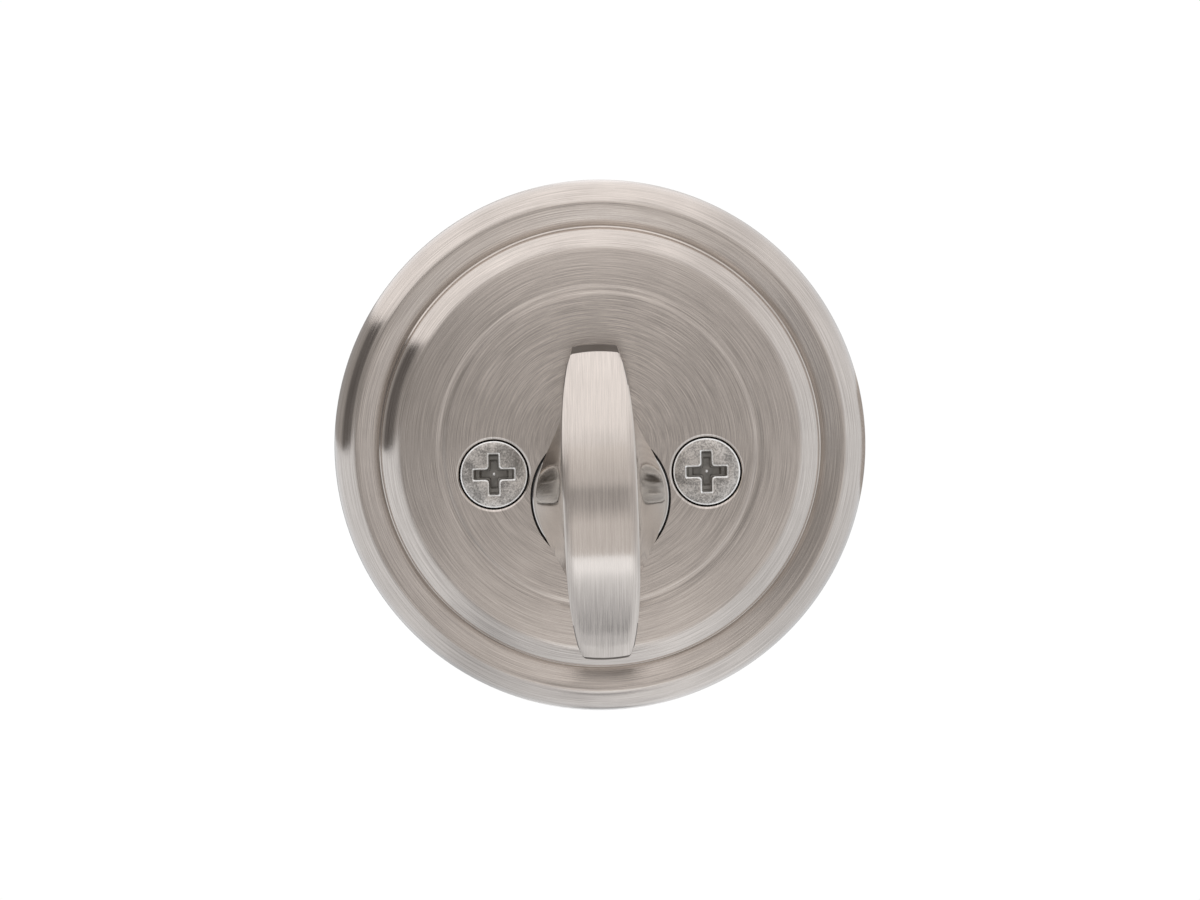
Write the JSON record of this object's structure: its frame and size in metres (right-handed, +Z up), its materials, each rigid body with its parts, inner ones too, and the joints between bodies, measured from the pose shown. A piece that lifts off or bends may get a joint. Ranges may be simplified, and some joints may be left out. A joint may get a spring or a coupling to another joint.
{
  "type": "deadbolt door lock",
  "caption": "Deadbolt door lock with a bow-fronted thumb turn on a stepped round rose, a throwing bolt in a tubular case, and an outside key cylinder.",
  "frame": {"origin": "centre of the door's cross bore, on the door's inside face", "axes": "+Y through the door from the room to the street, +X towards the door's edge and the bolt, +Z up"},
  "size_m": [0.0925, 0.0945, 0.065],
  "materials": {
    "satin_nickel": "satin nickel, brushed round the roses and lengthwise on the thumb turn",
    "satin_nickel_cast": "satin nickel face on a die-cast body",
    "screw_zinc": "clouded nickel-plated steel, dark Phillips recess",
    "zinc_plated_steel": "bright zinc plate",
    "hardened_steel": "dark hardened steel",
    "bolt_metal": "satin nickel plated brass",
    "brass": "machined brass",
    "spring_steel": "bright spring wire",
    "nylon": "natural nylon"
  },
  "bodies": {
    "lock_body": {"inside_rose": "satin_nickel", "inside_mounting_plate": "zinc_plated_steel", "turn_bushing": "nylon", "mounting_screw_left": "screw_zinc", "mounting_screw_right": "screw_zinc", "faceplate": "satin_nickel", "faceplate_backing": "zinc_plated_steel", "faceplate_screw_top": "screw_zinc", "faceplate_screw_bottom": "screw_zinc", "bolt_tube": "zinc_plated_steel", "case_plate_inside": "zinc_plated_steel", "case_plate_outside": "zinc_plated_steel", "case_spacer_1": "zinc_plated_steel", "case_spacer_2": "zinc_plated_steel", "case_spacer_3": "zinc_plated_steel", "outside_rose": "satin_nickel", "outside_support_plate": "zinc_plated_steel", "cylinder_housing": "satin_nickel_cast", "chamber_cover": "brass", "pin_spring_1": "spring_steel", "pin_spring_2": "spring_steel", "pin_spring_3": "spring_steel", "pin_spring_4": "spring_steel", "pin_spring_5": "spring_steel", "driver_pin_1": "brass", "driver_pin_2": "brass", "driver_pin_3": "brass", "driver_pin_4": "brass", "driver_pin_5": "brass"},
    "turn_body": {"thumb_turn": "satin_nickel", "turn_washer": "spring_steel", "turn_retaining_ring": "hardened_steel", "tail_blade": "zinc_plated_steel", "crank": "hardened_steel", "crank_pin": "hardened_steel"},
    "bolt_body": {"bolt": "bolt_metal", "bolt_hard_pin": "hardened_steel", "draw_bar": "zinc_plated_steel", "draw_bar_rivet_1": "zinc_plated_steel", "draw_bar_rivet_2": "zinc_plated_steel"},
    "plug_body": {"plug": "brass", "plug_cap": "brass", "plug_cap_pin": "zinc_plated_steel", "key_pin_1": "brass", "key_pin_2": "brass", "key_pin_3": "brass", "key_pin_4": "brass", "key_pin_5": "brass"}
  },
  "joints": [
    {"name": "thumb_turn_hinge", "type": "hinge", "parent": "lock_body", "child": "turn_body", "pos_m": [0, 0, -0.006], "axis": [0, 1, 0], "range_deg": [0, 91.5]},
    {"name": "bolt_throw", "type": "slide", "parent": "lock_body", "child": "bolt_body", "axis": [1, 0, 0], "range_m": [0, 0.0254]},
    {"name": "key_plug_hinge", "type": "hinge", "parent": "lock_body", "child": "plug_body", "pos_m": [0, 0.0445, -0.006], "axis": [0, 1, 0], "range_deg": [-90, 90]}
  ],
  "couplings": [
    {"joint": "bolt_throw", "follows": "thumb_turn_hinge", "m_per_rad": 0.015905}
  ]
}
